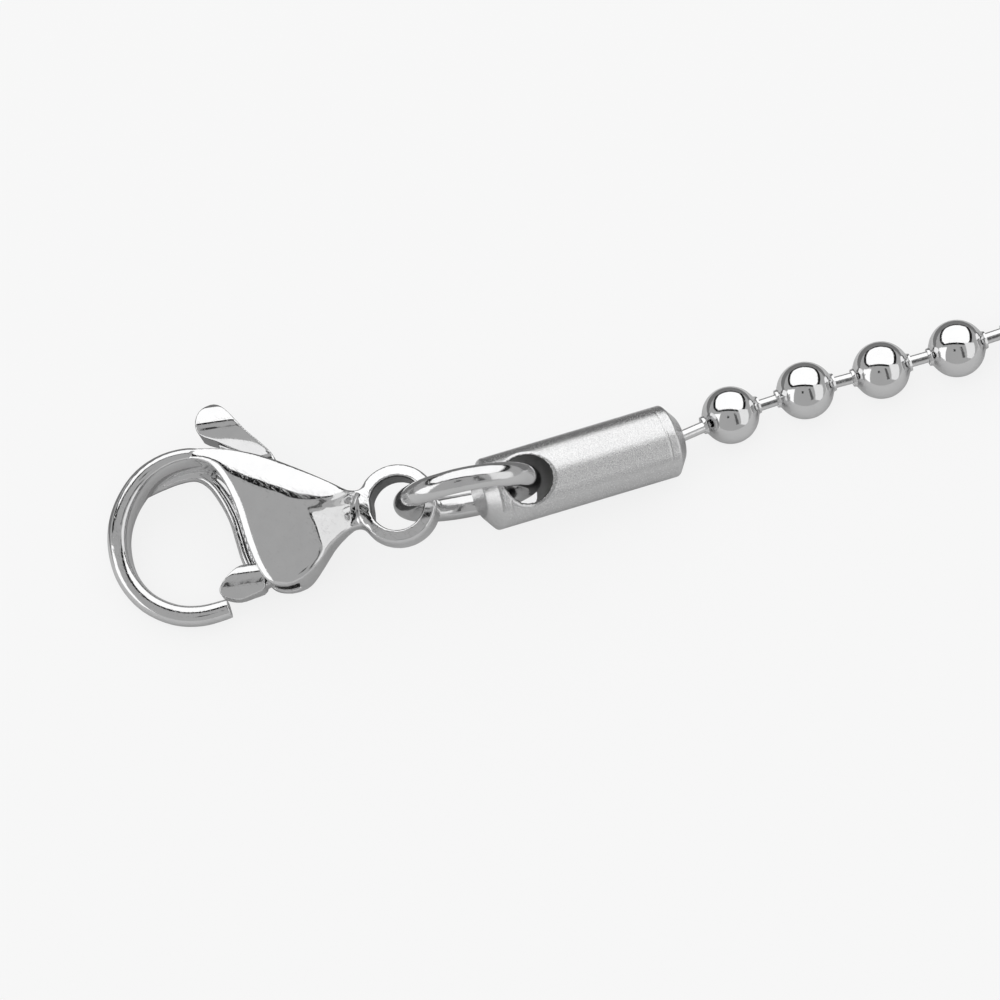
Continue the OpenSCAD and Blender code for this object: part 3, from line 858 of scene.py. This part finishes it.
stops = [tubeExit, *beadSpots, freeExit]
barDirs = [(b - a).normalized() for a, b in zip(stops, stops[1:])]


def joinLoose(name, parts):
    piece = joinAll(name, parts)
    bpy.ops.object.transform_apply(location=True, rotation=True, scale=True)
    bpy.ops.object.shade_smooth_by_angle(angle=math.radians(chain["smoothAngle"]))
    return piece


# one part is modelled once and copied to each place, each copy with its own mesh
def repeat(name, first, places):
    copies = []
    for place in places:
        copy = first.copy()
        copy.data = first.data.copy()
        bpy.context.collection.objects.link(copy)
        copy.matrix_world = place
        copies.append(copy)
    bpy.data.objects.remove(first)
    return joinLoose(name, copies)


# steps along the ball outside and inside, and round it
def makeBeads(name, numbers, arcSteps, innerSteps, steps):
    first = addTurned(name, beadProfile(arcSteps, innerSteps), steps)
    return repeat(name, first, [aimed(stops[i], barDirs[i] + barDirs[i - 1]) for i in numbers])


def makeBars(name, numbers, sides):
    c = chain
    offset, inTube = c["headRadius"] + c["headGap"] / 2, tube["mouthWall"] + c["headRadius"] + c["headGap"]
    bars = []
    for i in numbers:
        start = stops[i] + barDirs[i] * (-inTube if i == 0 else offset)
        end = stops[i + 1] - barDirs[i] * (-inTube if i == c["count"] else offset)
        length, head, rod = (end - start).length, c["headRadius"], c["barRadius"]
        profile = [(radius * head, height * head) for radius, height in c["headRows"]]
        profile += [(rod, c["headNeck"] * head), (rod, length / 2)]
        profile += [(radius, length - height) for radius, height in reversed(profile[:-1])]
        bar = addTurned(name, profile, sides)
        bar.matrix_world = aimed(start, barDirs[i])
        bars.append(bar)
    return joinLoose(name, bars)


firstFar = chain["nearCount"] + 1
nearBeads = makeBeads("near_beads", range(1, firstFar), *chain["nearSteps"])
dress(nearBeads, beadSteel, "polished_steel", "necklace", "ball_chain")
farBeads = makeBeads("far_beads", range(firstFar, chain["count"] + 1), *chain["farSteps"])
dress(farBeads, beadSteel, "polished_steel", "necklace")
nearBars = makeBars("near_bars", range(firstFar), chain["nearSides"])
dress(nearBars, barSteel, "polished_steel", "necklace")
farBars = makeBars("far_bars", range(firstFar, chain["count"] + 1), chain["farSides"])
dress(farBars, barSteel, "polished_steel", "necklace")


# studio: pale paper under the necklace, and what its steel mirrors

studio = {
    "paper": 0.1, "paperGlow": 0.82, "paperRadius": 8, "surround": 0.42, "table": 0.5, "tableDrop": 0.0001,
    "backdropRadius": 30, "backdropGlow": 0.9,
    "sun": 1.35, "sunTilt": (25, -20), "sunSpread": 70,
    # painted shade, seen only as a mirror image: a darker sheet behind the photographed stretch that stands in for
    # the shade on the table there: metres along it and behind it
    "mat": ((-0.4, 0.004), (0.4, 0.004), (0.4, 0.3), (-0.4, 0.3)), "matHeading": 17, "matRise": 0.0002,
    "shadeMatGlow": 0.2,
    # corners as they are mirrored on a ball, in shares of its radius to the right and up, then glow and distance
    "softbox": (((-0.42, 0.165), (0.34, 0.165), (0.42, 0.25), (0.41, 0.58), (0.32, 0.73), (-0.38, 0.7),
                 (-0.48, 0.56), (-0.51, 0.26)), 1.22, 0.9),
    "softboxFrame": (((-0.47, 0.1), (0.39, 0.1), (0.49, 0.2), (0.48, 0.61), (0.36, 0.77), (-0.42, 0.74),
                      (-0.54, 0.6), (-0.58, 0.22)), 0.01, 1.6),
    "leftCard": (((-0.34, 0.05), (-0.6, 0.03), (-0.66, -0.4), (-0.34, -0.55)), 1.25, 0.6),
    "rightCard": (((0.26, 0.19), (0.58, 0.2), (0.57, -0.33), (0.36, -0.31)), 0.9, 0.6),
    "lensSpot": (((-0.11, -0.02), (-0.04, -0.03), (-0.04, -0.1), (-0.11, -0.11)), 0.03, 0.5),
    "flag": (((0.11, 0.06), (0.17, 0.07), (0.3, -0.3), (0.21, -0.33)), 0.1, 0.7),
}


def glow(name, level):
    finish = Finish(name)
    finish.tree.nodes.remove(finish.shader)
    light = finish.node("ShaderNodeEmission", {}, {"Color": (1, 1, 1, 1), "Strength": level})
    finish.tree.links.new(light.socket, finish.tree.nodes["Material Output"].inputs[0])
    return finish.material


def showTo(piece, **rays):
    for kind in ("camera", "diffuse", "glossy", "transmission", "volume_scatter", "shadow"):
        setattr(piece, "visible_" + kind, rays.get(kind, False))


# direction in which a ball mirrors its surroundings at a spot on the picture of it
def mirrored(right, up):
    toward = math.sqrt(1 - right ** 2 - up ** 2)
    slant = math.radians(view["elevation"])
    normal = Vector((right, up * math.sin(slant) - toward * math.cos(slant),
                     up * math.cos(slant) + toward * math.sin(slant)))
    return 2 * normal.dot(back) * normal - back


# a glowing card, placed by its mirror image; a nearer card hides a farther one
def addCard(name, corners, level, distance, lights=False):
    card = addLoop(name, len(corners), filled=True)
    for corner, spot in zip(card.data.vertices, corners):
        corner.co = aim + mirrored(*spot) * distance
    card.data.materials.append(glow(name, level))
    showTo(card, glossy=True, diffuse=lights)


# painted shade for the steel's mirror image: a dim glowing sheet behind the chain where the table lies in shade
along, across = flatDir(studio["matHeading"]), flatDir(studio["matHeading"] + 90)
paintedShadeMat = addLoop("painted_shade_mat", len(studio["mat"]), filled=True)
for corner, (right, behind) in zip(paintedShadeMat.data.vertices, studio["mat"]):
    corner.co = aim + along * right + across * behind + Vector((0, 0, studio["matRise"]))
paintedShadeMat.data.materials.append(glow("painted_shade_mat", studio["shadeMatGlow"]))
showTo(paintedShadeMat, glossy=True)
addCard("softbox", *studio["softbox"], lights=True)
addCard("softbox_frame", *studio["softboxFrame"])
addCard("left_card", *studio["leftCard"])
addCard("right_card", *studio["rightCard"])
addCard("lens_spot", *studio["lensSpot"])
addCard("flag", *studio["flag"])


# a round matt sheet under the necklace
def addSheet(name, shade, height, glowing, **rays):
    deselectAll()
    bpy.ops.mesh.primitive_circle_add(vertices=96, radius=studio["paperRadius"], fill_type="NGON",
                                      location=(0, 0, height))
    sheet = bpy.context.object
    sheet.name = name
    finish = Finish(name)
    sheet.data.materials.append(finish.surface(color=(shade, shade, shade, 1), roughness=0.9))
    finish.fill(finish.shader, {"Specular IOR Level": 0, "Emission Color": (1, 1, 1, 1),
                                "Emission Strength": glowing})
    showTo(sheet, **rays)
    return sheet


# the camera sees the glowing paper, and the steel mirrors the darker table just under it
paper = addSheet("paper", studio["paper"], 0, studio["paperGlow"], camera=True)
table = addSheet("table", studio["table"], -studio["tableDrop"], 0, glossy=True)
bpy.ops.mesh.primitive_uv_sphere_add(radius=studio["backdropRadius"], segments=48, ring_count=24)
backdrop = bpy.context.object
backdrop.name = "backdrop"
backdrop.data.materials.append(glow("backdrop", studio["backdropGlow"]))
showTo(backdrop, camera=True)

world = bpy.data.worlds.new("studio")
bpy.context.scene.world = world
world.use_nodes = True
world.node_tree.nodes["Background"].inputs["Color"].default_value = (studio["surround"],) * 3 + (1,)

sunTilt = [math.radians(angle) for angle in studio["sunTilt"]]
bpy.ops.object.light_add(type="SUN", location=(0, 0, 2), rotation=(*sunTilt, 0))
sun = bpy.context.object
sun.data.energy = studio["sun"]
sun.data.angle = math.radians(studio["sunSpread"])
sun.visible_glossy = False

bpy.context.scene.view_settings.view_transform = "Standard"
bpy.context.scene.view_settings.look = "None"
print("studio set")
